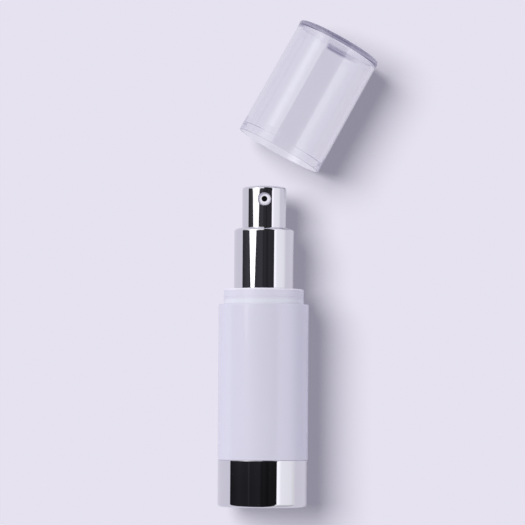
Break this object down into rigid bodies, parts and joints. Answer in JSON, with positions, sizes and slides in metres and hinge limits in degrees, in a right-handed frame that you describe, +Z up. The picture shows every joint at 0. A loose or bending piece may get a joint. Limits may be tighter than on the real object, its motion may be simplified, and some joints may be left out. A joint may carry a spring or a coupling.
{
  "type": "airless pump bottle",
  "caption": "Slim round airless pump bottle with a bright base, collar and push head, a white body and a clear overcap lying beside it.",
  "frame": {"origin": "on the bottle's axis, in the plane of the rim that the bottle stands on", "axes": "the bottle lies on its side as pictured: +Y along its axis from the foot to the head, +Z up from the table and out of the nozzle, +X to the side where the cap lies; the table is at Z = -13.5 mm, and a quarter turn about X stands the bottle on its foot"},
  "size_m": [0.0473, 0.1462, 0.027],
  "materials": {
    "bright_metallised": "polished",
    "white_body": "gloss",
    "white_ring": "gloss",
    "white_nozzle": "gloss",
    "clear_cap": "polished",
    "natural_plastic": "satin",
    "soft_seal": "satin",
    "steel": "polished"
  },
  "bodies": {
    "bottle": {"base_cup": "bright_metallised", "outer_sleeve": "white_body", "inner_bottle": "natural_plastic", "base_plug": "natural_plastic", "seat_ring": "white_ring", "collar_shell": "bright_metallised", "closure": "natural_plastic", "neck_gasket": "soft_seal", "pump_housing": "natural_plastic", "housing_lid": "natural_plastic", "ball_retainer": "natural_plastic", "return_spring": "steel"},
    "pump_stem": {"stem": "natural_plastic", "plunger_rod": "natural_plastic"},
    "head": {"actuator_core": "natural_plastic", "actuator_shell": "bright_metallised", "nozzle_insert": "white_nozzle"},
    "seal": {"piston_seal": "soft_seal"},
    "ball": {"inlet_ball": "steel"},
    "follower": {"follower_piston": "natural_plastic"},
    "cap": {"overcap": "clear_cap"}
  },
  "joints": [
    {"name": "head_press", "type": "slide", "parent": "bottle", "child": "pump_stem", "axis": [0, -1, 0], "range_m": [0, 0.004], "stiffness_N_per_m": 600, "deforming": ["return_spring"]},
    {"name": "head_turn", "type": "hinge", "parent": "pump_stem", "child": "head", "pos_m": [0, 0.0904, 0], "axis": [0, 1, 0], "continuous": true},
    {"name": "seal_slip", "type": "slide", "parent": "pump_stem", "child": "seal", "axis": [0, 1, 0], "range_m": [0, 0.0007]},
    {"name": "ball_lift", "type": "slide", "parent": "bottle", "child": "ball", "axis": [0, 1, 0], "range_m": [0, 0.0006]},
    {"name": "follower_rise", "type": "slide", "parent": "bottle", "child": "follower", "axis": [0, 1, 0], "range_m": [0, 0.0419]},
    {"name": "cap_swing", "type": "hinge", "parent": "bottle", "child": "cap", "pos_m": [0.09207, 0.07562, 0], "axis": [0, 0, 1], "range_deg": [0, 28.8]}
  ]
}
